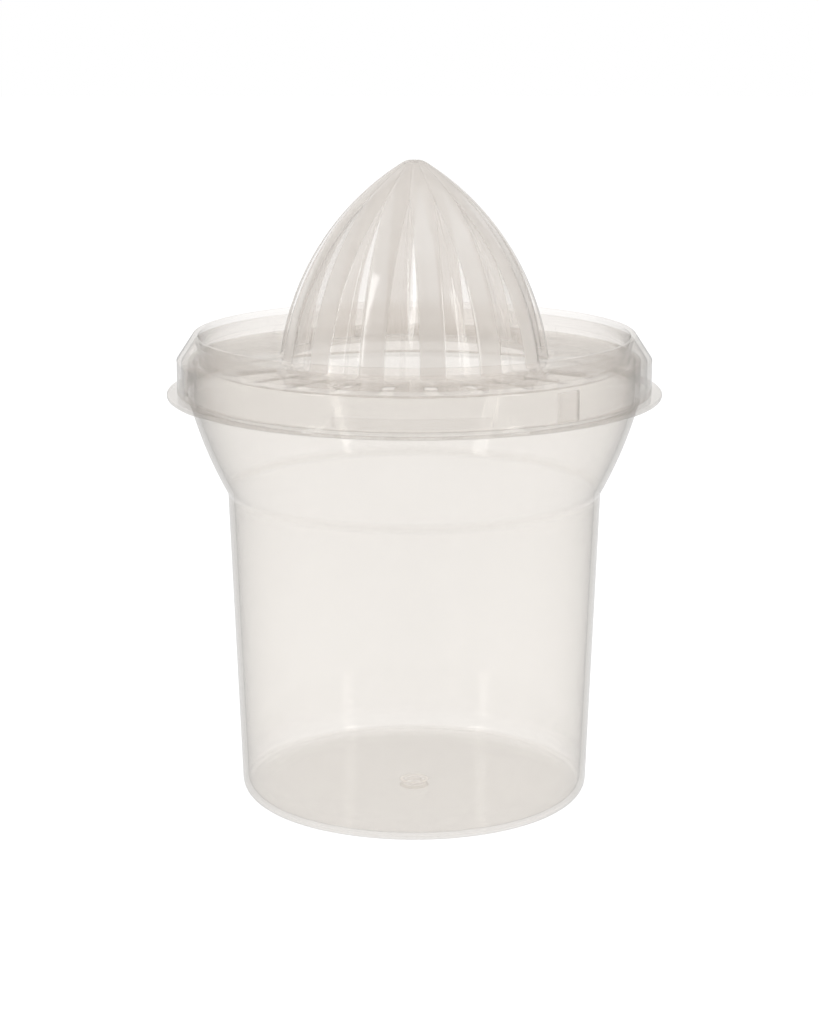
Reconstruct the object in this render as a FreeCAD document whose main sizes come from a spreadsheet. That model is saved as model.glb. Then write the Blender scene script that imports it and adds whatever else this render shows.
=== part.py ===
"""Hand citrus juicer: a tapered container and a lift-off lid that carries the ribbed reamer.

Millimetres, +Z up. The origin is the middle of the container's underside, where it stands.
The front of the juicer is -Y. An azimuth is counted from the front, positive towards +X.
"""
import FreeCAD, Part
import math
import os

import Sketcher

doc = FreeCAD.newDocument("citrus_juicer")

# ---------------------------------------------------------------- driving dimensions

DIMENSIONS = [
    # container
    ("base_radius", 44.6),          # outer radius that the tapered wall reaches at the table
    ("neck_radius", 47.5),          # outer radius at the top of the tapered wall
    ("body_height", 79.7),          # table to neck
    ("flare_height", 24.6),         # neck to the underside of the flange
    ("flare_arc", 105.0),           # radius of the gentle bulge of the flare
    ("collar_radius", 57.1),        # outer radius of the upright collar inside the lid
    ("roof_clearance", 2.14),       # free height between the collar and the lid's shoulder
    ("flange_lip", 2.6),            # how far the flange, which carries the lid, passes the skirt
    ("flange_thickness", 1.2),
    ("cup_wall", 1.4),
    ("base_thickness", 1.6),
    ("base_corner", 3.6),           # outer radius where wall and underside meet
    ("base_corner_inside", 2.4),
    ("neck_blend", 1.2),            # rounding of the crease at the neck
    ("edge_round", 0.45),           # rounding of the thin free edges
    ("gate_radius", 3.75),          # shallow dish in the middle of the underside
    ("gate_depth", 0.6),
    ("gate_nub_radius", 1.4),       # moulding gate that is left in the dish
    ("gate_nub_height", 0.35),
    # turn stops, on the collar
    ("stop_count", 3),
    ("stop_azimuth", 39.0),
    ("stop_width", 6.4),
    ("stop_height", 7.2),
    ("stop_clearance", 0.4),        # between a stop and the skirt
    # lid
    ("skirt_gap", 1.6),             # free space between collar and skirt, on the radius
    ("lid_wall", 1.2),
    ("skirt_height", 8.2),          # flange to the crease under the shoulder
    ("lid_height", 14.5),           # flange to the top of the rim
    ("rim_inset", 4.8),             # skirt to the middle of the rounded rim, on the radius
    ("trough_inset", 2.1),          # middle of the rim to the edge of the trough floor
    ("trough_height", 8.3),         # flange to the top of the trough floor
    ("trough_step", 2.1),           # height of the small step at the trough's outer edge
    ("step_width", 0.8),
    ("floor_thickness", 1.2),
    # grip pads, inside the skirt
    ("pad_count", 3),
    ("pad_azimuth", -0.3),
    ("pad_angle", 38.4),
    ("pad_lift", 0.25),             # pad above the flange
    ("pad_foot_height", 2.8),
    ("pad_clearance", 0.4),         # between a pad's foot and the collar
    ("pad_depth", 0.6),             # of the pad above its foot
    # reamer
    ("reamer_radius", 33.9),        # at the trough floor, over the ribs
    ("reamer_height", 49.3),        # trough floor to tip
    ("reamer_foot_slope", 6.86),    # degrees from upright where the reamer meets the floor
    ("tip_radius", 2.1),
    ("tip_dimple", 0.5),
    ("reamer_wall", 1.15),          # wall left under the grooves
    ("rib_count", 14),
    ("rib_azimuth", 7.8),
    ("rib_width", 6.0),             # the ribs keep this width and merge near the tip
    ("groove_depth", 1.3),
    ("groove_flat", 1.5),           # width of the flat at the bottom of a groove, at its foot
    # strainer slots
    ("slot_count", 10),
    ("slot_pitch", 12.857),         # degrees from one slot to the next
    ("slot_azimuth", -59.3),        # the first slot
    ("slot_length", 10.0),
    ("slot_width", 3.2),
    ("slot_shift", 1.0),            # outwards from the middle of the trough
]

sheet = doc.addObject("Spreadsheet::Sheet", "dims")
for row, (alias, value) in enumerate(DIMENSIONS, start=1):
    sheet.set(f"A{row}", alias)
    sheet.set(f"B{row}", str(value))
    sheet.setAlias(f"B{row}", alias)
doc.recompute()

# ---------------------------------------------------------------- sizes worked out from them

# Heights of the groove's cross-sections, from the trough floor (0) to where the ribs merge (1).
GROOVE_STATIONS = [0.0, 0.3, 0.6, 0.85, 1.0]

WORKED = [
    ("flange_z", "dims.body_height + dims.flare_height"),
    ("seat_z", "flange_z + dims.flange_thickness"),
    ("skirt_inner", "dims.collar_radius + dims.skirt_gap"),
    ("skirt_outer", "skirt_inner + dims.lid_wall"),
    ("flange_radius", "skirt_outer + dims.flange_lip"),
    ("rim_radius", "skirt_outer - dims.rim_inset"),
    ("trough_radius", "rim_radius - dims.trough_inset"),
    ("crease_z", "seat_z + dims.skirt_height"),
    ("rim_z", "seat_z + dims.lid_height"),
    ("floor_z", "seat_z + dims.trough_height"),
    ("floor_under_z", "floor_z - dims.floor_thickness"),
    # slope of the shoulder: radius lost for each millimetre of rise
    ("shoulder_run", "(dims.rim_inset - dims.lid_wall / 2) / (rim_z - crease_z)"),
    ("inner_crease_z", "crease_z - dims.lid_wall * (sqrt(1 + shoulder_run ^ 2) - 1) / shoulder_run"),
    ("roof_z", "inner_crease_z + (skirt_inner - rim_radius) / shoulder_run"),
    ("collar_top_z", "inner_crease_z + dims.skirt_gap / shoulder_run - dims.roof_clearance"),
    # the reamer's outline is one arc: its radius, and its centre behind the axis
    ("reamer_reach", "dims.reamer_radius - dims.tip_radius"),
    ("foot_cos", "cos(dims.reamer_foot_slope * 1 deg)"),
    ("foot_sin", "sin(dims.reamer_foot_slope * 1 deg)"),
    ("arc_radius", "(reamer_reach ^ 2 + dims.reamer_height ^ 2)"
                   " / (2 * (foot_cos * reamer_reach - foot_sin * dims.reamer_height))"),
    ("arc_back", "arc_radius * foot_cos - dims.reamer_radius"),
    ("arc_z", "floor_z - arc_radius * foot_sin"),
    ("tip_z", "floor_z + dims.reamer_height"),
    ("shell", "dims.reamer_wall + dims.groove_depth"),
    ("inner_arc_radius", "arc_radius - shell"),
    ("inner_foot_radius", "sqrt(inner_arc_radius ^ 2 - (floor_under_z - arc_z) ^ 2) - arc_back"),
    ("inner_tip_radius", "dims.tip_radius / 2"),
    ("inner_tip_z", "arc_z + sqrt(inner_arc_radius ^ 2 - (arc_back + inner_tip_radius) ^ 2)"),
    # the grooves die out at the radius where ribs of constant width touch each other
    ("merge_radius", "dims.rib_width * dims.rib_count / (2 * pi)"),
    ("merge_z", "arc_z + sqrt(arc_radius ^ 2 - (arc_back + merge_radius) ^ 2)"),
    ("foot_half_width", "pi * dims.reamer_radius / dims.rib_count - dims.rib_width / 2"),
]
for index, station in enumerate(GROOVE_STATIONS):
    WORKED += [
        (f"station_z_{index}", f"floor_z + (merge_z - floor_z) * {station}"),
        (f"station_radius_{index}", f"sqrt(arc_radius ^ 2 - (station_z_{index} - arc_z) ^ 2) - arc_back"),
        (f"station_half_{index}",
         f"max(0.04, pi * station_radius_{index} / dims.rib_count - dims.rib_width / 2)"),
        (f"station_share_{index}", f"station_half_{index} / foot_half_width"),
    ]

worked = doc.addObject("Spreadsheet::Sheet", "worked")
for row, (alias, formula) in enumerate(WORKED, start=1):
    worked.set(f"A{row}", alias)
    worked.set(f"B{row}", "=" + formula)
    worked.setAlias(f"B{row}", alias)
doc.recompute()


def size(expression):
    """The number that an expression of the two sheets gives."""
    value = doc.getObject("dims").evalExpression(expression)
    return float(getattr(value, "Value", value))


# ---------------------------------------------------------------- sketching

def origin_feature(body, role):
    return next(f for f in body.Origin.OriginFeatures if f.Role == role)


def place_sketch(body, name, role, offset=None, turn=None):
    """A sketch on an origin plane; offset and turn are expressions along and about its axes."""
    sketch = body.newObject("Sketcher::SketchObject", name)
    sketch.AttachmentSupport = [(origin_feature(body, role), "")]
    sketch.MapMode = "FlatFace"
    if turn:
        axis = FreeCAD.Vector(0, 0, 1) if role == "XY_Plane" else FreeCAD.Vector(0, 1, 0)
        sketch.AttachmentOffset = FreeCAD.Placement(FreeCAD.Vector(), FreeCAD.Rotation(axis, 1))
        sketch.setExpression("AttachmentOffset.Rotation.Angle", turn)
    if offset:
        sketch.setExpression("AttachmentOffset.Base.z", offset)
    return sketch


def pin(sketch, kind, name, geometry, end, expression):
    """Fix one coordinate of a point to an expression of the sheets."""
    if expression == "0":
        axis = -2 if kind == "DistanceX" else -1
        sketch.addConstraint(Sketcher.Constraint("PointOnObject", geometry, end, axis))
        return
    value = size(expression)
    if value < 0:
        made = Sketcher.Constraint(kind, geometry, end, -1, 1, -value)
        expression = f"-({expression})"
    else:
        made = Sketcher.Constraint(kind, -1, 1, geometry, end, value)
    index = sketch.addConstraint(made)
    sketch.renameConstraint(index, name)
    sketch.setExpression(f"Constraints.{name}", expression)


def arc_between(start, finish, radius):
    """An arc from start to finish, turning left for a positive radius and right for a negative one."""
    chord = finish - start
    middle = (start + finish) * 0.5
    side = FreeCAD.Vector(-chord.y, chord.x, 0).normalize()
    height = math.sqrt(max(radius ** 2 - (chord.Length / 2) ** 2, 0.0))
    centre = middle + side * (height if radius > 0 else -height)
    angles = [math.atan2(point.y - centre.y, point.x - centre.x) for point in (start, finish)]
    if radius < 0:
        angles.reverse()
    circle = Part.Circle(centre, FreeCAD.Vector(0, 0, 1), abs(radius))
    return Part.ArcOfCircle(circle, angles[0], angles[1])


def draw(sketch, outline):
    """Close an outline of corners (x, y) or (x, y, r), where r is the arc that leads to the next one."""
    corners = [FreeCAD.Vector(size(corner[0]), size(corner[1]), 0) for corner in outline]
    ends = []
    for index, corner in enumerate(outline):
        start, finish = corners[index], corners[(index + 1) % len(corners)]
        if len(corner) == 3:
            radius = size(corner[2])
            geometry = sketch.addGeometry(arc_between(start, finish, radius), False)
            ends.append((geometry, 1, 2) if radius > 0 else (geometry, 2, 1))
            if abs((finish - start).Length - 2 * abs(radius)) < 1e-6:
                # A half circle across an upright chord: its radius can't fix the centre, so x does.
                pin(sketch, "DistanceX", f"centre_{index}", geometry, 3, corner[0])
                continue
            made = sketch.addConstraint(Sketcher.Constraint("Radius", geometry, abs(radius)))
            sketch.renameConstraint(made, f"arc_{index}")
            sketch.setExpression(f"Constraints.arc_{index}", f"abs({corner[2]})")
        else:
            geometry = sketch.addGeometry(Part.LineSegment(start, finish), False)
            ends.append((geometry, 1, 2))
    for index, (geometry, first, last) in enumerate(ends):
        following = ends[(index + 1) % len(ends)]
        sketch.addConstraint(Sketcher.Constraint("Coincident", geometry, last, following[0], following[1]))
        pin(sketch, "DistanceX", f"x_{index}", geometry, first, outline[index][0])
        pin(sketch, "DistanceY", f"y_{index}", geometry, first, outline[index][1])


def revolve(body, name, outline, angle=None, turn=None):
    """Turn an outline in the XZ plane about Z, all the way or symmetrically over an angle."""
    sketch = place_sketch(body, name + "_outline", "XZ_Plane", turn=turn)
    draw(sketch, outline)
    feature = body.newObject("PartDesign::Revolution", name)
    feature.Profile = sketch
    feature.ReferenceAxis = (sketch, ["V_Axis"])
    feature.Angle = 360
    if angle:
        feature.Midplane = True
        feature.setExpression("Angle", angle)
    doc.recompute()
    return feature


def repeat(body, name, feature, count, angle):
    """Copy a feature around Z."""
    pattern = body.newObject("PartDesign::PolarPattern", name)
    pattern.Originals = [feature]
    pattern.Axis = (origin_feature(body, "Z_Axis"), [""])
    pattern.setExpression("Angle", angle)
    pattern.setExpression("Occurrences", count)
    body.Tip = pattern
    doc.recompute()
    return pattern


def round_edges(body, name, base, radius, rings):
    """Round the circular edges that run through the given (radius, height) places."""
    places = [(size(ring[0]), size(ring[1])) for ring in rings]
    names = []
    for number, edge in enumerate(base.Shape.Edges, start=1):
        if not isinstance(edge.Curve, Part.Circle):
            continue
        for place in places:
            same_radius = abs(edge.Curve.Radius - place[0]) < 1e-4
            if same_radius and abs(edge.Curve.Center.z - place[1]) < 1e-4:
                names.append(f"Edge{number}")
    if len(names) < len(places):
        raise RuntimeError(f"{name}: found {len(names)} of {len(places)} edges")
    feature = body.newObject("PartDesign::Fillet", name)
    feature.Base = (base, names)
    feature.setExpression("Radius", radius)
    doc.recompute()
    return feature


def changed(before, after, name, sign):
    """A cut that points away from the solid does nothing, so every step's volume is compared."""
    difference = (after.Shape.Volume - before.Shape.Volume) * sign
    if difference <= 0:
        raise RuntimeError(f"{name} changed nothing")


# ---------------------------------------------------------------- container

def make_container():
    body = doc.addObject("PartDesign::Body", "container")
    body.Label = "container"

    # How much the tapered wall's radius grows for each millimetre of height.
    taper = "(dims.neck_radius - dims.base_radius) / dims.body_height"
    inside_foot = f"dims.base_radius - dims.cup_wall + dims.base_thickness * {taper}"
    shell = revolve(body, "shell", [
        ("0", "0"),
        ("dims.base_radius", "0"),
        ("dims.neck_radius", "dims.body_height", "dims.flare_arc"),
        ("dims.collar_radius", "worked.flange_z"),
        ("worked.flange_radius", "worked.flange_z"),
        ("worked.flange_radius", "worked.seat_z"),
        ("dims.collar_radius", "worked.seat_z"),
        ("dims.collar_radius", "worked.collar_top_z"),
        ("dims.collar_radius - dims.cup_wall", "worked.collar_top_z"),
        ("dims.collar_radius - dims.cup_wall", "worked.flange_z", "-dims.flare_arc"),
        ("dims.neck_radius - dims.cup_wall", "dims.body_height"),
        (inside_foot, "dims.base_thickness"),
        ("0", "dims.base_thickness"),
    ])
    corner = round_edges(body, "base_rounding", shell, "dims.base_corner", [("dims.base_radius", "0")])
    inside = round_edges(body, "inside_rounding", corner, "dims.base_corner_inside",
                         [(inside_foot, "dims.base_thickness")])
    neck = round_edges(body, "neck_rounding", inside, "dims.neck_blend", [
        ("dims.neck_radius", "dims.body_height"),
        ("dims.neck_radius - dims.cup_wall", "dims.body_height"),
    ])
    edges = round_edges(body, "edge_rounding", neck, "dims.edge_round", [
        ("worked.flange_radius", "worked.flange_z"),
        ("worked.flange_radius", "worked.seat_z"),
        ("dims.collar_radius", "worked.collar_top_z"),
        ("dims.collar_radius - dims.cup_wall", "worked.collar_top_z"),
    ])

    # A dish in the underside with the moulding gate standing in it, above the table.
    dish_sketch = place_sketch(body, "gate_dish_outline", "XZ_Plane")
    nub_z = "dims.gate_depth - dims.gate_nub_height"
    draw(dish_sketch, [
        ("0", nub_z),
        ("dims.gate_nub_radius", nub_z),
        ("dims.gate_nub_radius + dims.gate_nub_height", "dims.gate_depth"),
        ("dims.gate_radius - dims.gate_depth", "dims.gate_depth"),
        ("dims.gate_radius", "0"),
        ("0", "0"),
    ])
    dish = body.newObject("PartDesign::Groove", "gate_dish")
    dish.Profile = dish_sketch
    dish.ReferenceAxis = (dish_sketch, ["V_Axis"])
    dish.Angle = 360
    doc.recompute()
    changed(edges, dish, "gate_dish", -1)

    # Three stops on the collar end the lid's turn.
    stop_sketch = place_sketch(body, "stop_outline", "XY_Plane", "worked.seat_z", "dims.stop_azimuth - 90")
    stop_root = "dims.collar_radius - dims.cup_wall / 2"
    stop_face = "worked.skirt_inner - dims.stop_clearance"
    draw(stop_sketch, [
        (stop_root, "-dims.stop_width / 2"),
        (stop_face, "-dims.stop_width / 2"),
        (stop_face, "dims.stop_width / 2"),
        (stop_root, "dims.stop_width / 2"),
    ])
    stop = body.newObject("PartDesign::Pad", "stop")
    stop.Profile = stop_sketch
    stop.setExpression("Length", "dims.stop_height")
    doc.recompute()
    changed(dish, stop, "stop", 1)
    stops = repeat(body, "stops", stop, "dims.stop_count", "360")
    changed(stop, stops, "stops", 1)
    return body


# ---------------------------------------------------------------- lid with the reamer

def make_grooves(body, lid):
    """Cut one tapering groove between two ribs and copy it around the reamer."""
    turn = "dims.rib_azimuth + 180 / dims.rib_count - 90"
    sections = []
    for index in range(len(GROOVE_STATIONS)):
        share = f"worked.station_share_{index}"
        radius = f"worked.station_radius_{index}"
        half = f"worked.station_half_{index}"
        flat = f"dims.groove_flat / 2 * {share}"
        floor = f"{radius} - dims.groove_depth * {share}"
        # Above the ribs the cutter keeps the slope of its flanks.
        over = f"{radius} + dims.groove_depth * {share}"
        over_half = f"2 * {half} - {flat}"
        section = place_sketch(body, f"groove_section_{index}", "XY_Plane", f"worked.station_z_{index}", turn)
        draw(section, [
            (floor, f"-({flat})"),
            (over, f"-({over_half})"),
            (over, over_half),
            (floor, flat),
        ])
        sections.append(section)
    groove = body.newObject("PartDesign::SubtractiveLoft", "groove")
    groove.Profile = sections[0]
    groove.Sections = sections[1:]
    doc.recompute()
    changed(lid, groove, "groove", -1)
    grooves = repeat(body, "grooves", groove, "dims.rib_count", "360")
    changed(groove, grooves, "grooves", -1)
    return grooves


def make_slots(body, lid):
    """Cut the strainer slots through the trough floor, in an arc across the front."""
    sketch = place_sketch(body, "slot_outline", "XY_Plane", "worked.floor_z", "dims.slot_azimuth - 90")
    half = "dims.slot_width / 2"
    middle = "(dims.reamer_radius + worked.trough_radius) / 2 + dims.slot_shift"
    near = f"{middle} - dims.slot_length / 2 + {half}"
    far = f"{middle} + dims.slot_length / 2 - {half}"
    draw(sketch, [
        (near, f"-{half}"),
        (far, f"-{half}", half),
        (far, half),
        (near, half, half),
    ])
    slot = body.newObject("PartDesign::Pocket", "slot")
    slot.Profile = sketch
    slot.setExpression("Length", "dims.floor_thickness * 2")
    doc.recompute()
    changed(lid, slot, "slot", -1)
    slots = repeat(body, "slots", slot, "dims.slot_count", "dims.slot_pitch * (dims.slot_count - 1)")
    changed(slot, slots, "slots", -1)
    return slots


def make_lid():
    body = doc.addObject("PartDesign::Body", "reamer_lid")
    body.Label = "reamer_lid"

    half_wall = "dims.lid_wall / 2"
    shell = revolve(body, "lid_shell", [
        ("worked.skirt_inner", "worked.seat_z"),
        ("worked.skirt_outer", "worked.seat_z"),
        ("worked.skirt_outer", "worked.crease_z"),
        (f"worked.rim_radius + {half_wall}", "worked.rim_z"),
        (f"worked.rim_radius - {half_wall}", "worked.rim_z"),
        ("worked.trough_radius + dims.step_width", "worked.floor_z + dims.trough_step"),
        ("worked.trough_radius", "worked.floor_z + dims.trough_step"),
        ("worked.trough_radius", "worked.floor_z"),
        ("dims.reamer_radius", "worked.floor_z", "worked.arc_radius"),
        ("dims.tip_radius", "worked.tip_z"),
        ("dims.tip_radius / 2", "worked.tip_z - dims.tip_dimple"),
        ("0", "worked.tip_z - dims.tip_dimple"),
        ("0", "worked.inner_tip_z"),
        ("worked.inner_tip_radius", "worked.inner_tip_z", "-worked.inner_arc_radius"),
        ("worked.inner_foot_radius", "worked.floor_under_z"),
        ("worked.trough_radius + dims.lid_wall", "worked.floor_under_z"),
        ("worked.rim_radius", "worked.roof_z"),
        ("worked.skirt_inner", "worked.inner_crease_z"),
    ])
    edges = round_edges(body, "lid_edge_rounding", shell, "dims.edge_round", [
        ("worked.skirt_outer", "worked.seat_z"),
        ("worked.skirt_outer", "worked.crease_z"),
        (f"worked.rim_radius + {half_wall}", "worked.rim_z"),
        (f"worked.rim_radius - {half_wall}", "worked.rim_z"),
        ("worked.trough_radius", "worked.floor_z + dims.trough_step"),
        ("dims.tip_radius", "worked.tip_z"),
    ])

    # Stepped pads inside the skirt, which centre the lid on the collar and meet the stops.
    pad_bottom = "worked.seat_z + dims.pad_lift"
    pad_root = "worked.skirt_inner + dims.lid_wall / 2"
    pad_top = "worked.crease_z"
    pad = revolve(body, "pad", [
        ("dims.collar_radius + dims.pad_clearance", pad_bottom),
        (pad_root, pad_bottom),
        (pad_root, pad_top),
        ("worked.skirt_inner - dims.pad_depth", pad_top),
        ("worked.skirt_inner - dims.pad_depth", f"{pad_bottom} + dims.pad_foot_height"),
        ("dims.collar_radius + dims.pad_clearance", f"{pad_bottom} + dims.pad_foot_height"),
    ], angle="dims.pad_angle", turn="dims.pad_azimuth - 90")
    changed(edges, pad, "pad", 1)
    pads = repeat(body, "pads", pad, "dims.pad_count", "360")
    changed(pad, pads, "pads", 1)

    grooves = make_grooves(body, pads)
    make_slots(body, grooves)
    return body


# ---------------------------------------------------------------- checks and export

def check_document():
    """A recompute can leave an object failed without raising, so every state is read."""
    for thing in doc.Objects:
        if "Invalid" in thing.State or "Error" in thing.State:
            raise RuntimeError(f"{thing.Name} failed: {thing.State}")


def write_steps(bodies):
    os.makedirs("parts", exist_ok=True)
    for body in bodies:
        shape = body.Shape
        if shape.isNull() or not shape.isValid() or len(shape.Solids) != 1:
            raise RuntimeError(f"{body.Label}: the shape is not one valid solid")
    for body in bodies:
        body.Shape.exportStep(os.path.join("parts", body.Label + ".step"))
        box = body.Shape.optimalBoundingBox()
        print(f"{body.Label}: volume {body.Shape.Volume:.1f} mm3,"
              f" x {box.XMin:.2f}..{box.XMax:.2f}, y {box.YMin:.2f}..{box.YMax:.2f},"
              f" z {box.ZMin:.2f}..{box.ZMax:.2f}")


pieces = [make_container(), make_lid()]
doc.recompute()
check_document()
write_steps(pieces)
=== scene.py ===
"""Hand citrus juicer in translucent natural polypropylene: container and lid with a ribbed reamer.

Sizes are millimetres along the frame's axes; meshes, lights and the camera are in metres.
The front is -Y. An azimuth is counted from the front, positive towards +X.
"""

import math

import bmesh
import bpy
from mathutils import Matrix, Vector


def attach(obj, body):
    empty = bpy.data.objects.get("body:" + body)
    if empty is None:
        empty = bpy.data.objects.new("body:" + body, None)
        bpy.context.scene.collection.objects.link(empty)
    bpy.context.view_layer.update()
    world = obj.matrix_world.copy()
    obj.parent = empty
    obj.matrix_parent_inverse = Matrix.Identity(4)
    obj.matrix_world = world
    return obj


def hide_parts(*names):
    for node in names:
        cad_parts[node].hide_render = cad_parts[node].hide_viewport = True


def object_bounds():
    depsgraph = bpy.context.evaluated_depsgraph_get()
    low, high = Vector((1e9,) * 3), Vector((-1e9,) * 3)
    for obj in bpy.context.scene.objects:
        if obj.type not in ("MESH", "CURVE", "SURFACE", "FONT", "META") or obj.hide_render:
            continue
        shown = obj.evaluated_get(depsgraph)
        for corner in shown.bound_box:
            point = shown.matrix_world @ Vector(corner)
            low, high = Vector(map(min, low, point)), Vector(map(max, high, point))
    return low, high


MM = 0.001

# ---------------------------------------------------------------- sizes (the CAD model's own)

BASE_RADIUS = 44.6
NECK_RADIUS = 47.5
BODY_HEIGHT = 79.7
FLARE_HEIGHT = 24.6
FLARE_ARC = 105.0
CUP_WALL = 1.4
BASE_THICKNESS = 1.6
FLANGE_THICKNESS = 1.2
FLANGE_LIP = 2.6
COLLAR_RADIUS = 57.1
COLLAR_TOP = 113.6
GATE_RADIUS, GATE_DEPTH = 3.75, 0.6
NUB_RADIUS, NUB_HEIGHT = 1.4, 0.35
STOP_AZIMUTHS = [39.0, 159.0, 279.0]
STOP_WIDTH, STOP_HEIGHT, STOP_DEPTH = 6.4, 7.2, 1.2

LID_WALL = 1.2
SKIRT_GAP = 1.6
SKIRT_HEIGHT = 8.2
LID_HEIGHT = 14.5
RIM_INSET = 4.8
TROUGH_INSET = 2.1
TROUGH_HEIGHT = 8.3
TROUGH_STEP = 2.1
STEP_WIDTH = 0.8
FLOOR_THICKNESS = 1.2
PAD_AZIMUTHS = [-0.3, 119.7, 239.7]
PAD_ANGLE, PAD_LIFT, PAD_FOOT_HEIGHT = 38.4, 0.25, 2.8
PAD_FOOT_DEPTH, PAD_DEPTH = 1.2, 0.6

REAMER_RADIUS = 33.9
REAMER_HEIGHT = 49.3
FOOT_SLOPE = math.radians(6.86)
TIP_RADIUS, TIP_DIMPLE = 2.1, 0.5
RIB_COUNT = 14
RIB_AZIMUTH = 7.8
RIB_WIDTH = 6.0
GROOVE_DEPTH = 1.3
GROOVE_FLAT = 1.5
GROOVE_WALL = 1.15
SLOT_COUNT, SLOT_PITCH, SLOT_AZIMUTH = 10, 12.857, -59.3
SLOT_LENGTH, SLOT_WIDTH, SLOT_SHIFT = 10.0, 3.2, 1.0

FLANGE_Z = BODY_HEIGHT + FLARE_HEIGHT
SEAT_Z = FLANGE_Z + FLANGE_THICKNESS
SKIRT_INNER = COLLAR_RADIUS + SKIRT_GAP
SKIRT_OUTER = SKIRT_INNER + LID_WALL
FLANGE_RADIUS = SKIRT_OUTER + FLANGE_LIP
CREASE_Z = SEAT_Z + SKIRT_HEIGHT
RIM_Z = SEAT_Z + LID_HEIGHT
RIM_RADIUS = SKIRT_OUTER - RIM_INSET
TROUGH_RADIUS = RIM_RADIUS - TROUGH_INSET
FLOOR_Z = SEAT_Z + TROUGH_HEIGHT
FLOOR_UNDER_Z = FLOOR_Z - FLOOR_THICKNESS
TIP_Z = FLOOR_Z + REAMER_HEIGHT

SHOULDER_RUN = (RIM_INSET - LID_WALL / 2) / (RIM_Z - CREASE_Z)
INNER_CREASE_Z = CREASE_Z - LID_WALL * (math.hypot(1, SHOULDER_RUN) - 1) / SHOULDER_RUN
ROOF_Z = INNER_CREASE_Z + (SKIRT_INNER - RIM_RADIUS) / SHOULDER_RUN

REACH = REAMER_RADIUS - TIP_RADIUS
ARC_RADIUS = (REACH ** 2 + REAMER_HEIGHT ** 2) / (
    2 * (math.cos(FOOT_SLOPE) * REACH - math.sin(FOOT_SLOPE) * REAMER_HEIGHT))
ARC_BACK = ARC_RADIUS * math.cos(FOOT_SLOPE) - REAMER_RADIUS
ARC_Z = FLOOR_Z - ARC_RADIUS * math.sin(FOOT_SLOPE)
SHELL = GROOVE_WALL + GROOVE_DEPTH

# ---------------------------------------------------------------- corners, mesh counts and looks

BASE_CORNER, BASE_CORNER_INSIDE = 3.6, 2.6
NECK_BLEND, NECK_BLEND_REACH = 0.9, 1.4
FOOT_FILLET = 0.8
CROWN_CORNER = 0.55             # the ribs end where this corner begins
SLOT_CORNER = 0.3
CAP_RADIUS = 0.3                # of the container's innermost rings, which the caps close

LATHE_COLUMNS = 240
RIB_COLUMNS, GROOVE_COLUMNS = 8, 18
RIB_LEVELS, HOLLOW_LEVELS = 56, 40
SAME_PLACE = 1e-7               # metres within which two vertices are one

# Scatter of the reamer: its ribs, the middles and flanks of its grooves, and its smooth inside. The clear
# groove flanks are painted highlights, bright wedges in place of refracted backdrop light, and the
# milkier groove middles are painted shade, the dark lines between them.
RIB_SCATTER, MIDDLE_SHADE_SCATTER, FLANK_HIGHLIGHT_SCATTER, INNER_SCATTER = 3.2, 2.1, 0.7, 0.9
LENS_FROM = 2.3                 # reamer surfaces with more scatter than this also refract
PLASTIC_IOR = 1.49
LENS_SHARE = 0.45               # of the clear light, refracted by the ribs
STREAK = 0.06                   # strength of the flow lines and the grain
ABSORPTION_COLOUR = (0.5, 0.475, 0.445)

TABLE_REACH, TABLE_DROP = 3.0, 0.0002
TABLE_GLOW_SHARE = 0.88
TABLE_WHITE = 1.13              # strength at which the camera sees the table as white
CAMERA_DISTANCE, CAMERA_RISE = 10, 1.783    # in flange radii, the rise from the flange
CAMERA_LENS = 87.9
CAMERA_TILT, CAMERA_PAN = 12.83, 0.112      # degrees

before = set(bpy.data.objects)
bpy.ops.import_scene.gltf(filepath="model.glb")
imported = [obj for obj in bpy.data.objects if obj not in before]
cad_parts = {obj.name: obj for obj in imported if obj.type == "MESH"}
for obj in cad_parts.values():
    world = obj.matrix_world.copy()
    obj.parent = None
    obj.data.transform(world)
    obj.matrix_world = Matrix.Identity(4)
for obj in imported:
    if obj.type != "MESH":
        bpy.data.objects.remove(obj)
cad_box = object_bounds()


# ---------------------------------------------------------------- outlines

def rounded(corners, steps=5):
    """A polyline of (r, z) from corners (r, z) or (r, z, radius), the latter rounded by an arc."""
    line = []
    for index, corner in enumerate(corners):
        here = Vector(corner[:2])
        if len(corner) == 2 or index in (0, len(corners) - 1):
            line.append(here)
            continue
        before = Vector(corners[index - 1][:2]) - here
        after = Vector(corners[index + 1][:2]) - here
        half = before.angle(after) / 2
        reach = min(corner[2] / math.tan(half), before.length * 0.49, after.length * 0.49)
        radius = reach * math.tan(half)
        inward = (before.normalized() + after.normalized()).normalized()
        centre = here + inward * (radius / math.sin(half))
        start = here + before.normalized() * reach - centre
        finish = here + after.normalized() * reach - centre
        turn = start.angle_signed(finish)
        for step in range(steps + 1):
            arm = start.copy()
            arm.rotate(Matrix.Rotation(-turn * step / steps, 2))
            line.append(centre + arm)
    return line


def bulged(start, finish, radius, steps):
    """Points between two places on an arc that bulges away from the axis, ends left out."""
    start, finish = Vector(start), Vector(finish)
    chord = finish - start
    rising = chord.x * chord.y > 0
    outward = Vector((abs(chord.y), -abs(chord.x) if rising else abs(chord.x))).normalized()
    middle = (start + finish) / 2
    deep = math.sqrt(radius ** 2 - (chord.length / 2) ** 2)
    centre = middle - outward * deep
    points = []
    for step in range(1, steps):
        place = start.lerp(finish, step / steps) - centre
        points.append(tuple(centre + place.normalized() * radius))
    return points


def densify(line, longest):
    """Split the long straight stretches of a polyline."""
    dense = [line[0]]
    for here, there in zip(line, line[1:]):
        parts = max(1, math.ceil((there - here).length / longest))
        dense += [here.lerp(there, part / parts) for part in range(1, parts + 1)]
    return dense


# ---------------------------------------------------------------- mesh building

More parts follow.
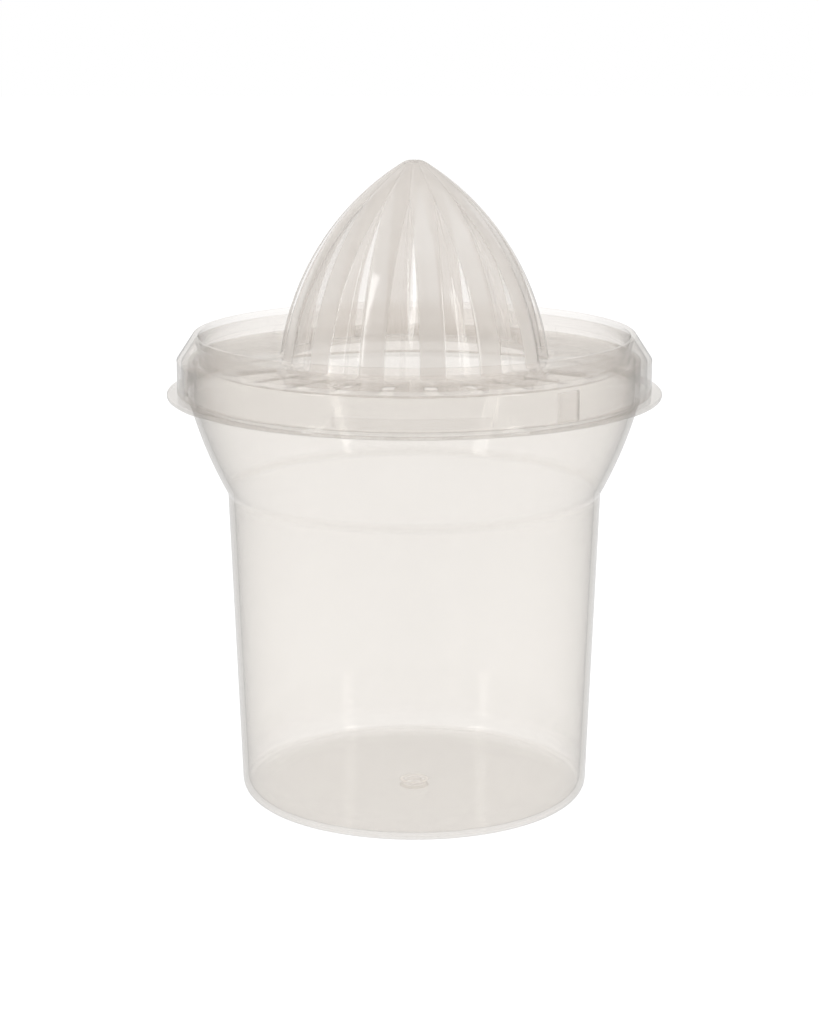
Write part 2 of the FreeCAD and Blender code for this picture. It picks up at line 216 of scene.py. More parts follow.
class Shell:
    """Collects rings of vertices and the faces between them, with an amount of scatter per vertex, which
    in places paints light and shade.

    The scatter is a look, chosen for each region. It is not the thickness of the wall.
    """

    def __init__(self):
        self.places, self.scatter, self.faces = [], [], []

    def ring(self, places, scatter):
        """Add vertices and give their indices."""
        first = len(self.places)
        self.places += places
        self.scatter += scatter
        return list(range(first, first + len(places)))

    def band(self, lower, upper):
        """Quads between two rings of the same count; the outside is on the left going up."""
        count = len(lower)
        for index in range(count):
            following = (index + 1) % count
            self.faces.append((lower[index], lower[following], upper[following], upper[index]))

    def cap(self, ring, place, scatter, up):
        """Close a ring with a fan of triangles."""
        centre = self.ring([place], [scatter])[0]
        count = len(ring)
        for index in range(count):
            following = (index + 1) % count
            ends = (ring[index], ring[following]) if up else (ring[following], ring[index])
            self.faces.append((ends[0], ends[1], centre))

    def build(self, name):
        """The finished object, with the attributes that its plastic reads."""
        mesh = bpy.data.meshes.new(name)
        mesh.from_pydata([tuple(c * MM for c in place) for place in self.places], [], self.faces)
        scatter = mesh.attributes.new("scatter", "FLOAT", "POINT")
        scatter.data.foreach_set("value", self.scatter)
        lens = mesh.attributes.new("lens", "FLOAT", "POINT")
        ribbed = [float(amount > LENS_FROM and z > FLOOR_Z and math.hypot(x, y) < REAMER_RADIUS + 0.5)
                  for (x, y, z), amount in zip(self.places, self.scatter)]
        lens.data.foreach_set("value", ribbed)
        made = bmesh.new()
        made.from_mesh(mesh)
        bmesh.ops.remove_doubles(made, verts=made.verts, dist=SAME_PLACE)
        bmesh.ops.recalc_face_normals(made, faces=made.faces)
        for face in made.faces:
            face.smooth = True
        made.to_mesh(mesh)
        made.free()
        piece = bpy.data.objects.new(name, mesh)
        bpy.context.scene.collection.objects.link(piece)
        return piece


def polar(radius, azimuth, z):
    """A place from its radius, azimuth in degrees from the front, and height."""
    angle = math.radians(azimuth - 90)
    return (radius * math.cos(angle), radius * math.sin(angle), z)


def away(azimuth, centre):
    """Signed angle from centre to azimuth, within half a turn."""
    return (azimuth - centre + 180) % 360 - 180


def spread(count, edges):
    """Even azimuths plus pairs on both sides of each edge, so that steps stay crisp."""
    angles = [360 * index / count for index in range(count)]
    for edge in edges:
        angles = [a for a in angles if abs(away(a, edge)) > 0.45]
        angles += [(edge - 0.15) % 360, (edge + 0.15) % 360]
    return sorted(angles)


def lathe(shell, line, azimuths, place_of, scatter_of):
    """Rings along a profile; place_of(r, z, azimuth) moves a point, scatter_of gives its scatter."""
    rings = []
    for radius, z in line:
        places = [polar(*place_of(radius, z, azimuth)) for azimuth in azimuths]
        scatter = [scatter_of(radius, z, azimuth) for azimuth in azimuths]
        rings.append(shell.ring(places, scatter))
    for lower, upper in zip(rings, rings[1:]):
        shell.band(lower, upper)
    return rings


# ---------------------------------------------------------------- container

def make_container():
    """The container, from the gate under its base, up the outside and down the inside."""
    collar_inner = COLLAR_RADIUS - CUP_WALL
    foot_inside = BASE_RADIUS - CUP_WALL + BASE_THICKNESS * (NECK_RADIUS - BASE_RADIUS) / BODY_HEIGHT
    nub_z = GATE_DEPTH - NUB_HEIGHT

    def neck_below(drop):
        return NECK_RADIUS - (NECK_RADIUS - BASE_RADIUS) * drop / BODY_HEIGHT

    outside = bulged((NECK_RADIUS, BODY_HEIGHT), (COLLAR_RADIUS, FLANGE_Z), FLARE_ARC, 12)
    inside = [(radius - CUP_WALL, z) for radius, z in reversed(outside)]
    stop_top = SEAT_Z + STOP_HEIGHT
    line = rounded([
        (CAP_RADIUS, nub_z),
        (NUB_RADIUS, nub_z, 0.25),
        (NUB_RADIUS + NUB_HEIGHT, GATE_DEPTH, 0.2),
        (GATE_RADIUS - GATE_DEPTH, GATE_DEPTH, 0.3),
        (GATE_RADIUS, 0.0, 0.25),
        (BASE_RADIUS, 0.0, BASE_CORNER),
        (neck_below(NECK_BLEND_REACH), BODY_HEIGHT - NECK_BLEND_REACH),
        (NECK_RADIUS, BODY_HEIGHT, NECK_BLEND),
        *outside,
        (COLLAR_RADIUS, FLANGE_Z, 0.5),
        (FLANGE_RADIUS, FLANGE_Z, 0.45),
        (FLANGE_RADIUS, SEAT_Z, 0.45),
        (COLLAR_RADIUS, SEAT_Z, 0.3),
        (COLLAR_RADIUS, stop_top - 0.3),
        (COLLAR_RADIUS, stop_top),
        (COLLAR_RADIUS, COLLAR_TOP, 0.5),
        (collar_inner, COLLAR_TOP, 0.5),
        (collar_inner, FLANGE_Z, 0.6),
        *inside,
        (NECK_RADIUS - CUP_WALL, BODY_HEIGHT, NECK_BLEND),
        (neck_below(NECK_BLEND_REACH) - CUP_WALL, BODY_HEIGHT - NECK_BLEND_REACH),
        (foot_inside + 0.26, 8.8),
        (foot_inside + 0.19, 6.8),
        (foot_inside, BASE_THICKNESS, BASE_CORNER_INSIDE),
        (GATE_RADIUS + 0.2, BASE_THICKNESS),
        (GATE_RADIUS - 0.1, BASE_THICKNESS),
        (GATE_RADIUS - GATE_DEPTH - 0.1, BASE_THICKNESS),
        (GATE_RADIUS - GATE_DEPTH - 0.5, BASE_THICKNESS),
        (NUB_RADIUS, BASE_THICKNESS),
        (CAP_RADIUS, BASE_THICKNESS),
    ], steps=6)
    line = densify(line, 4.0)
    half_stop = math.degrees(STOP_WIDTH / 2 / COLLAR_RADIUS)
    edges = [centre + side * half_stop for centre in STOP_AZIMUTHS for side in (-1, 1)]

    def on_stop(radius, z, azimuth):
        on_collar = abs(radius - COLLAR_RADIUS) < 0.35 and SEAT_Z + 0.05 < z < stop_top - 0.1
        return on_collar and any(abs(away(azimuth, centre)) < half_stop for centre in STOP_AZIMUTHS)

    def place_of(radius, z, azimuth):
        if on_stop(radius, z, azimuth):
            radius = COLLAR_RADIUS + STOP_DEPTH
        return radius, azimuth, z

    def scatter_of(radius, z, azimuth):
        # Painted light on the flange: its free edge is made milkier, a painted dark outline, and the rest
        # is kept clearer than its thickness gives, a painted lift against the lid's shade.
        if radius > COLLAR_RADIUS + 0.4:
            return FLANGE_THICKNESS * (1.3 if radius > FLANGE_RADIUS - 0.2 else 0.3)
        if on_stop(radius, z, azimuth):
            return CUP_WALL + 2.2 * STOP_DEPTH
        if z < BASE_THICKNESS + 0.1:
            # Painted shade: the ring round the gate recess is made much milkier, a dark outline at its
            # step; the nub is a little milkier.
            ring = GATE_RADIUS - GATE_DEPTH - 0.4 < radius < GATE_RADIUS + 0.1
            nub = radius < NUB_RADIUS + NUB_HEIGHT / 2
            return BASE_THICKNESS * 1.3 + (9.0 if ring else 3.0 if nub else 0.0)
        # Painted shade: the lowest 2.2 mm of the wall, round the base corner, is made milkier so that the
        # bottom edge reads darker.
        if z < 2.2:
            return CUP_WALL + 1.6
        # Painted shade: a milkier band along the neck bend draws its dark line.
        painted_neck_shade = max(0.0, 1 - abs(z - BODY_HEIGHT) / 1.3)
        # Painted highlight: the wall is made clearer low down, a bright band at the bottom corner.
        painted_corner_light = max(0.0, min(1.0, (7.5 - z) / 2))
        return CUP_WALL + 1.6 * painted_neck_shade - 1.1 * painted_corner_light

    shell = Shell()
    rings = lathe(shell, line, spread(LATHE_COLUMNS, edges), place_of, scatter_of)
    shell.cap(rings[0], (0, 0, nub_z), BASE_THICKNESS, up=False)
    shell.cap(rings[-1], (0, 0, BASE_THICKNESS), BASE_THICKNESS, up=True)
    return shell.build("container_moulding")


# ---------------------------------------------------------------- lid

def reamer_radius(z, arc=ARC_RADIUS):
    """Radius of the reamer's outline over the ribs, or of a parallel arc inside it."""
    return math.sqrt(max(arc ** 2 - (z - ARC_Z) ** 2, 0.0)) - ARC_BACK


def smooth_step(value):
    """From 0 to 1 with level ends."""
    value = min(max(value, 0.0), 1.0)
    return value * value * (3 - 2 * value)


FOOT_HALF = math.pi * REAMER_RADIUS / RIB_COUNT - RIB_WIDTH / 2
FAINT_HALF, FAINT_DEPTH = 0.45, 0.16   # the creases that go on above the grooves
EDGE_SOFTNESS = 0.12                   # rounding where a groove meets its ribs
RIB_PITCH = 360 / RIB_COUNT


def groove_half(radius):
    """Half the width of a groove on a circle of that radius; below zero above the grooves."""
    return math.pi * radius / RIB_COUNT - RIB_WIDTH / 2


def groove_offset(radius, azimuth):
    """Distance along the circle from the middle line of the nearest groove."""
    offset = away(azimuth, RIB_AZIMUTH + RIB_PITCH / 2) % RIB_PITCH
    return math.radians(min(offset, RIB_PITCH - offset)) * radius


def groove_cut(radius, offset):
    """Depth of the groove at a distance from its middle line, on a circle of that radius."""
    half = groove_half(radius)
    share = max(half, 0.0) / FOOT_HALF
    half = max(half, FAINT_HALF * smooth_step((radius - 1.2) / 4))
    depth = max(GROOVE_DEPTH * min(share * 1.25, 1.0), FAINT_DEPTH * smooth_step((radius - 1.5) / 3))
    flat = GROOVE_FLAT / 2 * share
    if half < 1e-3:
        return 0.0
    inside = (half - abs(offset)) / max(half - flat, 1e-3)
    inside = min(max(inside, 0.0), 1.0)
    ramp = inside - EDGE_SOFTNESS * math.sin(2 * math.pi * inside) / (2 * math.pi)
    return depth * ramp


def rib_azimuths(radius):
    """Azimuths of the columns: crowded at the edges of the ribs and at the groove's flat."""
    half = max(groove_half(radius), FAINT_HALF)
    half_angle = min(math.degrees(half / max(radius, 0.5)), RIB_PITCH * 0.42)
    azimuths = []
    for rib in range(RIB_COUNT):
        middle = RIB_AZIMUTH + RIB_PITCH * rib
        rib_half = RIB_PITCH / 2 - half_angle
        for index in range(RIB_COLUMNS):
            azimuths.append(middle - rib_half + 2 * rib_half * index / RIB_COLUMNS)
        for index in range(GROOVE_COLUMNS):
            azimuths.append(middle + rib_half + 2 * half_angle * index / GROOVE_COLUMNS)
    return azimuths


def reamer_place(z, azimuth):
    """Radius of the ribbed surface at a height and azimuth."""
    radius = reamer_radius(z)
    return radius - groove_cut(radius, groove_offset(radius, azimuth))


def flat_with_holes(shell, loops, up):
    """Fill a level plane between rings and around holes with triangles."""
    made = bmesh.new()
    edges = []
    tags = made.verts.layers.int.new("tag")
    for loop in loops:
        verts = []
        for index in loop:
            vert = made.verts.new(shell.places[index])
            vert[tags] = index
            verts.append(vert)
        edges += [made.edges.new((a, b)) for a, b in zip(verts, verts[1:] + verts[:1])]
    filled = bmesh.ops.triangle_fill(made, use_beauty=True, use_dissolve=False, edges=edges)
    for face in [f for f in filled["geom"] if isinstance(f, bmesh.types.BMFace)]:
        order = [vert[tags] for vert in face.verts]
        if (face.normal.z > 0) != up:
            order.reverse()
        shell.faces.append(tuple(order))
    made.free()


def slot_loop(azimuth, grow, z, steps=8):
    """Outline of one strainer slot, grown all round, as places."""
    middle = (REAMER_RADIUS + TROUGH_RADIUS) / 2 + SLOT_SHIFT
    half = SLOT_WIDTH / 2 + grow
    straight = SLOT_LENGTH / 2 - SLOT_WIDTH / 2
    angle = math.radians(azimuth - 90)
    along = Vector((math.cos(angle), math.sin(angle)))
    across = Vector((-math.sin(angle), math.cos(angle)))
    places = []
    for end in (1, -1):
        for step in range(steps + 1):
            turn = -math.pi / 2 + math.pi * step / steps
            x = middle + end * (straight + half * math.cos(turn))
            y = end * half * math.sin(turn)
            flat = along * x + across * y
            places.append((flat.x, flat.y, z))
    return places


def make_slots(shell, top_z, bottom_z):
    """The walls of the slots, with rounded edges; gives the loops on the top and bottom planes."""
    tops, bottoms = [], []
    for index in range(SLOT_COUNT):
        azimuth = SLOT_AZIMUTH + SLOT_PITCH * index
        rings = []
        for step in range(4):
            turn = math.pi / 2 * step / 3
            grow, down = SLOT_CORNER * (1 - math.sin(turn)), SLOT_CORNER * (1 - math.cos(turn))
            loop = slot_loop(azimuth, grow, top_z - down)
            rings.append(shell.ring(loop, [FLOOR_THICKNESS] * len(loop)))
        for step in range(4):
            turn = math.pi / 2 * step / 3
            grow, rise = SLOT_CORNER * (1 - math.cos(turn)), SLOT_CORNER * (1 - math.sin(turn))
            loop = slot_loop(azimuth, grow, bottom_z + rise)
            rings.append(shell.ring(loop, [FLOOR_THICKNESS] * len(loop)))
        for upper, lower in zip(rings, rings[1:]):
            shell.band(upper, lower)
        tops.append(rings[0])
        bottoms.append(rings[-1])
    return tops, bottoms


def make_lid():
    """The lid: trough edge, rim and skirt; the ribbed reamer; its inside; the slotted floor."""
    shell = Shell()
    plane_outer = TROUGH_RADIUS - 1.4
    outline = rounded([
        (plane_outer, FLOOR_Z),
        (TROUGH_RADIUS, FLOOR_Z, 0.7),
        (TROUGH_RADIUS, FLOOR_Z + TROUGH_STEP, 0.5),
        (TROUGH_RADIUS + STEP_WIDTH, FLOOR_Z + TROUGH_STEP, 0.4),
        (RIM_RADIUS - LID_WALL / 2, RIM_Z, 0.4),
        (RIM_RADIUS + LID_WALL / 2, RIM_Z, 0.35),
        (SKIRT_OUTER, CREASE_Z, 0.4),
        (SKIRT_OUTER, SEAT_Z + 0.02, 0.25),
        (SKIRT_INNER, SEAT_Z + 0.02, 0.4),
        (SKIRT_INNER, SEAT_Z + PAD_LIFT - 0.02),
        (SKIRT_INNER, SEAT_Z + PAD_LIFT + 0.05),
        (SKIRT_INNER, SEAT_Z + PAD_LIFT + PAD_FOOT_HEIGHT - 0.1),
        (SKIRT_INNER, SEAT_Z + PAD_LIFT + PAD_FOOT_HEIGHT + 0.1),
        (SKIRT_INNER, INNER_CREASE_Z, 0.3),
        (RIM_RADIUS, ROOF_Z, 0.3),
        (TROUGH_RADIUS + LID_WALL, FLOOR_UNDER_Z, 0.5),
        (plane_outer, FLOOR_UNDER_Z),
    ], steps=5)
    outline = densify(outline, 2.5)
    pad_edges = [centre + side * PAD_ANGLE / 2 for centre in PAD_AZIMUTHS for side in (-1, 1)]

    def skirt_place(radius, z, azimuth):
        inside = SKIRT_INNER - 3.2 < radius < SKIRT_INNER + 0.01 and z > SEAT_Z + PAD_LIFT
        under_roof = radius > RIM_RADIUS + 0.3 and z < CREASE_Z
        if inside and under_roof and any(abs(away(azimuth, c)) < PAD_ANGLE / 2 for c in PAD_AZIMUTHS):
            deep = PAD_FOOT_DEPTH if z < SEAT_Z + PAD_LIFT + PAD_FOOT_HEIGHT else PAD_DEPTH
            radius = min(radius, SKIRT_INNER - deep)
        return radius, azimuth, z

    def skirt_scatter(radius, z, azimuth):
        # Painted highlights: clear lines along the rim top and along the crease of the skirt.
        if z > RIM_Z - 0.25 or (abs(z - CREASE_Z) < 0.35 and radius > SKIRT_INNER + 0.3):
            return 0.7
        # Painted shade: a milkier line along the skirt's bottom edge, the dark gap line above the flange.
        if z < SEAT_Z + 0.2:
            return LID_WALL + 0.9
        if z < CREASE_Z - 0.2 and abs(radius - SKIRT_INNER) < 0.05:
            pad_depth = SKIRT_INNER - skirt_place(radius, z, azimuth)[0]
            return LID_WALL + 0.9 * pad_depth
        return LID_WALL

    side = lathe(shell, outline, spread(LATHE_COLUMNS, pad_edges), skirt_place, skirt_scatter)

    # The ribbed outside of the reamer, from a small fillet on the trough floor to the crown.
    ribbed = []
    heights = [FLOOR_Z + FOOT_FILLET * (1 - math.cos(math.pi / 2 * step / 4)) for step in range(5)]
    for step, z in enumerate(heights):
        grow = FOOT_FILLET * (1 - math.sin(math.pi / 2 * step / 4))
        azimuths = rib_azimuths(reamer_radius(z))
        places = [polar(reamer_place(z, a) + grow, a, z) for a in azimuths]
        ribbed.append(shell.ring(places, [rib_scatter(z, a) for a in azimuths]))
    for step in range(1, RIB_LEVELS + 1):
        share = step / RIB_LEVELS       # the levels crowd towards the tip
        z = heights[-1] + (TIP_Z - CROWN_CORNER - heights[-1]) * (1 - (1 - share) ** 1.35)
        azimuths = rib_azimuths(reamer_radius(z))
        places = [polar(reamer_place(z, a), a, z) for a in azimuths]
        ribbed.append(shell.ring(places, [rib_scatter(z, a) for a in azimuths]))
    crown = rounded([
        (reamer_radius(TIP_Z - CROWN_CORNER), TIP_Z - CROWN_CORNER),
        (TIP_RADIUS - 0.25, TIP_Z, CROWN_CORNER),
        (TIP_RADIUS / 2, TIP_Z - TIP_DIMPLE, 0.4),
        (0.25, TIP_Z - TIP_DIMPLE),
    ], steps=4)
    azimuths = rib_azimuths(TIP_RADIUS)
    for radius, z in crown[1:]:
        ribbed.append(shell.ring([polar(radius, a, z) for a in azimuths], [SHELL] * len(azimuths)))
    for lower, upper in zip(ribbed, ribbed[1:]):
        shell.band(lower, upper)
    shell.cap(ribbed[-1], (0, 0, TIP_Z - TIP_DIMPLE), SHELL, up=True)

    # The smooth inside of the reamer.
    inner_arc = ARC_RADIUS - SHELL
    tip_inside = ARC_Z + math.sqrt(inner_arc ** 2 - (ARC_BACK + TIP_RADIUS / 2) ** 2)
    foot_inside = reamer_radius(FLOOR_UNDER_Z, inner_arc)
    hollow = [Vector((foot_inside + 1.0, FLOOR_UNDER_Z))]
    hollow += rounded([(foot_inside + 0.99, FLOOR_UNDER_Z), (foot_inside, FLOOR_UNDER_Z, 0.9),
                       (reamer_radius(FLOOR_UNDER_Z + 2, inner_arc), FLOOR_UNDER_Z + 2)], steps=4)[1:]
    for step in range(1, HOLLOW_LEVELS + 1):
        share = step / HOLLOW_LEVELS
        z = FLOOR_UNDER_Z + 2 + (tip_inside - FLOOR_UNDER_Z - 2) * (1 - (1 - share) ** 1.4)
        hollow.append(Vector((reamer_radius(z, inner_arc), z)))
    even = rib_azimuths(REAMER_RADIUS)
    inner_rings = lathe(shell, hollow, even, lambda r, z, a: (r, a, z),
                        lambda r, z, a: INNER_SCATTER)
    shell.cap(inner_rings[-1], (0, 0, tip_inside), INNER_SCATTER, up=True)

    # Trough floor, above and below, around the slots.
    tops, bottoms = make_slots(shell, FLOOR_Z, FLOOR_UNDER_Z)
    flat_with_holes(shell, [side[0], ribbed[0], *tops], up=True)
    flat_with_holes(shell, [side[-1], inner_rings[0], *bottoms], up=False)
    return shell.build("reamer_lid_moulding")


def rib_scatter(z, azimuth):
    """Scatter of the ribbed outside: milky ribs, groove middles made milkier as painted shade, and flanks
    between them kept clear as painted highlights.
    """
    radius = reamer_radius(z)
    offset = groove_offset(radius, azimuth)
    half = groove_half(radius)
    if half < 0.15:
        return RIB_SCATTER
    middle = 0.9 * half / FOOT_HALF
    # Painted shade: the middle of each groove is milkier, a dark line.
    if offset < middle * 0.8:
        return MIDDLE_SHADE_SCATTER
    # Painted highlight: the flanks are nearly clear, bright wedges.
    if offset < half * 0.93:
        return FLANK_HIGHLIGHT_SCATTER
    return RIB_SCATTER


# ---------------------------------------------------------------- materials

def plastic(name, colour, haze, power, roughness, clear_colour, soak):
    """Translucent polypropylene, part clear and part milky.

    haze is about the milky share of a surface whose scatter is 1, and power its growth with
    the scatter. clear_colour is what each surface lets through, and soak is the density of the
    absorption along the path inside the wall.
    """
    material = bpy.data.materials.new(name)
    material.use_nodes = True
    nodes, links = material.node_tree.nodes, material.node_tree.links
    glass = nodes["Principled BSDF"]
    glass.inputs["IOR"].default_value = PLASTIC_IOR
    glass.inputs["Transmission Weight"].default_value = 1.0

    def node(kind, **values):
        made = nodes.new(kind)
        for key, value in values.items():
            setattr(made, key, value)
        return made

    def plug(socket, value):
        if isinstance(value, (int, float)):
            socket.default_value = value
        else:
            links.new(value, socket)

    def calc(operation, *values):
        made = node("ShaderNodeMath", operation=operation)
        for socket, value in zip(made.inputs, values):
            plug(socket, value)
        return made.outputs[0]

    def blend(share, first, second):
        made = node("ShaderNodeMixShader")
        plug(made.inputs[0], share)
        links.new(first.outputs[0], made.inputs[1])
        links.new(second.outputs[0], made.inputs[2])
        return made

    def noise(scale, detail, vector):
        made = node("ShaderNodeTexNoise")
        made.inputs["Scale"].default_value = scale
        made.inputs["Detail"].default_value = detail
        links.new(vector, made.inputs["Vector"])
        return made.outputs["Fac"]

    place = node("ShaderNodeTexCoord").outputs["Object"]
    stretch = node("ShaderNodeMapping")
    stretch.inputs["Scale"].default_value = (1.0, 1.0, 0.05)
    links.new(place, stretch.inputs["Vector"])
    flow = noise(70.0, 2.0, stretch.outputs[0])     # flow lines of the moulding, up the walls
    cloud = noise(28.0, 4.0, place)                 # cloudiness of the plastic
    grain = noise(900.0, 2.0, place)                # faint surface grain

    # The milky share grows with the per-vertex amount, whose painted highlights and painted shade show as
    # clearer and milkier plastic, and varies a little with the cloudiness and the flow.
    scatter = node("ShaderNodeAttribute", attribute_name="scatter").outputs["Fac"]
    uneven = calc("ADD", calc("MULTIPLY_ADD", cloud, 0.3, 0.7), calc("MULTIPLY", flow, 0.3))
    amount = calc("MULTIPLY", calc("POWER", scatter, power), calc("MULTIPLY", uneven, -haze))
    clear_share = calc("EXPONENT", amount)

    tone = node("ShaderNodeMix", data_type="RGBA")
    colours = [s for s in tone.inputs if s.type == "RGBA"]
    colours[0].default_value = (*[c * 0.97 for c in colour], 1)
    colours[1].default_value = (*[min(c * 1.01, 1) for c in colour], 1)
    links.new(cloud, tone.inputs["Factor"])
    tint = [s for s in tone.outputs if s.type == "RGBA"][0]
    rough = calc("MULTIPLY_ADD", grain, roughness * 0.6, roughness * 0.7)
    bump = node("ShaderNodeBump")
    bump.inputs["Strength"].default_value = STREAK
    bump.inputs["Distance"].default_value = 0.0002
    links.new(calc("MULTIPLY_ADD", grain, 0.01, flow), bump.inputs["Height"])

    straight = node("ShaderNodeBsdfTransparent")
    straight.inputs["Color"].default_value = (*clear_colour, 1)
    wall_loss = node("ShaderNodeVolumeAbsorption")
    wall_loss.inputs["Color"].default_value = (*ABSORPTION_COLOUR, 1)
    wall_loss.inputs["Density"].default_value = soak
    links.new(wall_loss.outputs[0], nodes["Material Output"].inputs["Volume"])
    front, back = node("ShaderNodeBsdfDiffuse"), node("ShaderNodeBsdfTranslucent")
    gloss = node("ShaderNodeBsdfAnisotropic")
    for shader, name_of in ((glass, "Base Color"), (front, "Color"), (back, "Color")):
        links.new(tint, shader.inputs[name_of])
    for shader in (glass, gloss):
        links.new(rough, shader.inputs["Roughness"])
    for shader in (glass, gloss, front):
        links.new(bump.outputs["Normal"], shader.inputs["Normal"])

    # Gloss by Fresnel, the same from inside the wall as from outside it.
    inside = node("ShaderNodeNewGeometry").outputs["Backfacing"]
    index = calc("MULTIPLY_ADD", inside, 1 / PLASTIC_IOR - PLASTIC_IOR, PLASTIC_IOR)
    shine = node("ShaderNodeFresnel")
    links.new(index, shine.inputs["IOR"])

    lens = node("ShaderNodeAttribute", attribute_name="lens").outputs["Fac"]
    clear = blend(calc("MULTIPLY", lens, LENS_SHARE), straight, glass)
    milky = blend(0.5, front, back)
    body = blend(clear_share, milky, clear)
    finish = blend(shine.outputs[0], body, gloss)
    links.new(finish.outputs[0], nodes["Material Output"].inputs["Surface"])
    return material


# ---------------------------------------------------------------- stage

def map_range(nodes, links, source, low, high, to_low, to_high):
    """A smooth step of a node's value from one range to another."""
    made = nodes.new("ShaderNodeMapRange")
    made.interpolation_type = "SMOOTHSTEP"
    for socket, value in (("From Min", low), ("From Max", high), ("To Min", to_low), ("To Max", to_high)):
        made.inputs[socket].default_value = value
    links.new(source, made.inputs["Value"])
    return made.outputs[0]


def make_stage():
    """A white table, just under the object."""
    floor_mesh = bpy.data.meshes.new("floor")
    corners = [(x * TABLE_REACH, y * TABLE_REACH, 0) for x, y in ((-1, -1), (1, -1), (1, 1), (-1, 1))]
    floor_mesh.from_pydata(corners, [], [(0, 1, 2, 3)])
    floor = bpy.data.objects.new("floor", floor_mesh)
    floor.location.z = -TABLE_DROP
    bpy.context.scene.collection.objects.link(floor)
    paper = bpy.data.materials.new("white_table")
    paper.use_nodes = True
    nodes, links = paper.node_tree.nodes, paper.node_tree.links
    diffuse = nodes["Principled BSDF"]
    diffuse.inputs["Base Color"].default_value = (0.95, 0.95, 0.95, 1)
    diffuse.inputs["Roughness"].default_value = 0.9
    glow = nodes.new("ShaderNodeEmission")
    glow.inputs["Color"].default_value = (1, 1, 1, 1)
    # White to the eye everywhere, but it lights the object mostly from behind.
    place = nodes.new("ShaderNodeSeparateXYZ")
    links.new(nodes.new("ShaderNodeTexCoord").outputs["Object"], place.inputs[0])
    aside = nodes.new("ShaderNodeMath")
    aside.operation = "ABSOLUTE"
    links.new(place.outputs["X"], aside.inputs[0])
    across = map_range(nodes, links, aside.outputs[0], 0.0, 0.6, 1.0, 0.45)
    along = map_range(nodes, links, place.outputs["Y"], -0.4, 0.15, 0.6, 1.05)
    both = nodes.new("ShaderNodeMath")
    both.operation = "MULTIPLY"
    links.new(across, both.inputs[0])
    links.new(along, both.inputs[1])
    path = nodes.new("ShaderNodeLightPath")
    strength = nodes.new("ShaderNodeMix")
    links.new(path.outputs["Is Camera Ray"], strength.inputs["Factor"])
    links.new(both.outputs[0], strength.inputs["A"])
    strength.inputs["B"].default_value = TABLE_WHITE
    links.new(strength.outputs["Result"], glow.inputs["Strength"])
    blend = nodes.new("ShaderNodeMixShader")
    blend.inputs[0].default_value = TABLE_GLOW_SHARE
    links.new(diffuse.outputs[0], blend.inputs[1])
    links.new(glow.outputs[0], blend.inputs[2])
    # Seen from below, the table lets the underside show.
    one_sided = nodes.new("ShaderNodeMixShader")
    links.new(nodes.new("ShaderNodeNewGeometry").outputs["Backfacing"], one_sided.inputs[0])
    links.new(blend.outputs[0], one_sided.inputs[1])
    links.new(nodes.new("ShaderNodeBsdfTransparent").outputs[0], one_sided.inputs[2])
    links.new(one_sided.outputs[0], nodes["Material Output"].inputs["Surface"])
    floor_mesh.materials.append(paper)


def area_light(name, place, aim, size, power, in_gloss=True):
    """A rectangular lamp; in_gloss says whether reflections and refractions show it."""
    data = bpy.data.lights.new(name, "AREA")
    data.shape = "RECTANGLE"
    data.size, data.size_y = size
    data.energy = power
    light = bpy.data.objects.new(name, data)
    light.location = place
    light.rotation_euler = (Vector(aim) - Vector(place)).to_track_quat("-Z", "Y").to_euler()
    light.visible_glossy = light.visible_transmission = in_gloss
    bpy.context.scene.collection.objects.link(light)


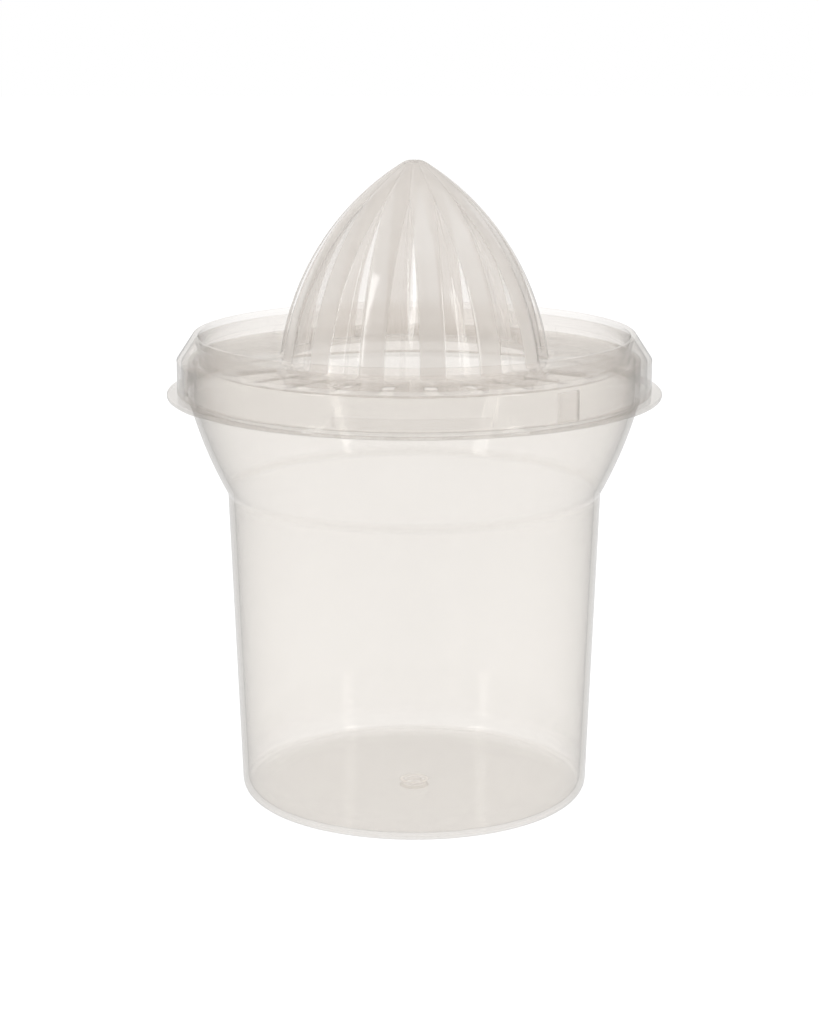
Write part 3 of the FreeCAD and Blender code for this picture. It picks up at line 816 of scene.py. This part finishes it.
def make_light():
    """A white room, brighter behind the object, and five soft lights."""
    scene = bpy.context.scene
    world = bpy.data.worlds.new("studio")
    scene.world = world
    world.use_nodes = True
    nodes, links = world.node_tree.nodes, world.node_tree.links
    seen = nodes["Background"]
    seen.inputs["Color"].default_value = (1, 1, 1, 1)
    seen.inputs["Strength"].default_value = 1.0
    room = nodes.new("ShaderNodeBackground")
    room.inputs["Color"].default_value = (1.0, 0.975, 0.945, 1)
    direction = nodes.new("ShaderNodeTexCoord").outputs["Generated"]
    parts = nodes.new("ShaderNodeSeparateXYZ")
    links.new(direction, parts.inputs[0])
    # The strength goes from dim in front of the object to white behind it.
    lean = nodes.new("ShaderNodeMath")
    lean.operation = "MULTIPLY_ADD"
    links.new(parts.outputs["X"], lean.inputs[0])
    lean.inputs[1].default_value = -0.2
    links.new(parts.outputs["Y"], lean.inputs[2])
    depth = map_range(nodes, links, lean.outputs[0], 0.78, 0.98, 0.62, 1.0)
    links.new(depth, room.inputs["Strength"])
    path = nodes.new("ShaderNodeLightPath")
    blend = nodes.new("ShaderNodeMixShader")
    links.new(path.outputs["Is Camera Ray"], blend.inputs[0])
    links.new(room.outputs[0], blend.inputs[1])
    links.new(seen.outputs[0], blend.inputs[2])
    links.new(blend.outputs[0], nodes["World Output"].inputs["Surface"])
    middle = (0, 0, 0.09)
    area_light("key", (-1.0, -0.85, 0.75), middle, (0.2, 1.0), 3.6)
    area_light("fill", (1.0, -0.9, 0.6), middle, (0.2, 1.0), 3.0)
    area_light("top", (0, 0.4, 1.2), middle, (0.9, 0.7), 7, in_gloss=False)
    area_light("side_left", (-1.2, 0.1, 0.5), middle, (0.8, 0.8), 6.5, in_gloss=False)
    area_light("side_right", (1.2, 0.1, 0.5), middle, (0.8, 0.8), 6.5, in_gloss=False)


def make_camera():
    """The camera stands ten flange radii away and looks slightly down."""
    flange = max(abs(c) for c in cad_box[1][:2])
    height = FLANGE_Z * MM + CAMERA_RISE * flange
    distance = CAMERA_DISTANCE * flange
    data = bpy.data.cameras.new("camera")
    data.lens = CAMERA_LENS
    data.sensor_width = 36
    data.clip_end = 20
    camera = bpy.data.objects.new("camera", data)
    camera.location = (0, -distance, height)
    tilt, pan = math.radians(CAMERA_TILT), math.radians(CAMERA_PAN)
    camera.rotation_euler = (math.radians(90) - tilt, 0, pan)
    bpy.context.scene.collection.objects.link(camera)
    bpy.context.scene.camera = camera


# ---------------------------------------------------------------- the scene

container = make_container()
lid = make_lid()
container.data.materials.append(plastic(
    "container_polypropylene", (0.94, 0.907, 0.872), haze=0.042, power=1.6, roughness=0.06,
    clear_colour=(0.976, 0.969, 0.960), soak=40.0))
lid.data.materials.append(plastic(
    "lid_polypropylene", (0.8, 0.766, 0.732), haze=0.018, power=2.9, roughness=0.09,
    clear_colour=(0.99, 0.983, 0.976), soak=13.0))

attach(container, "container")
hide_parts("container")
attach(lid, "lid")
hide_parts("reamer_lid")

make_stage()
make_light()
make_camera()
bpy.context.scene.view_settings.view_transform = "Standard"
cycles = bpy.context.scene.cycles
cycles.max_bounces = cycles.transmission_bounces = 24
cycles.glossy_bounces = cycles.diffuse_bounces = 12
cycles.transparent_max_bounces = 48
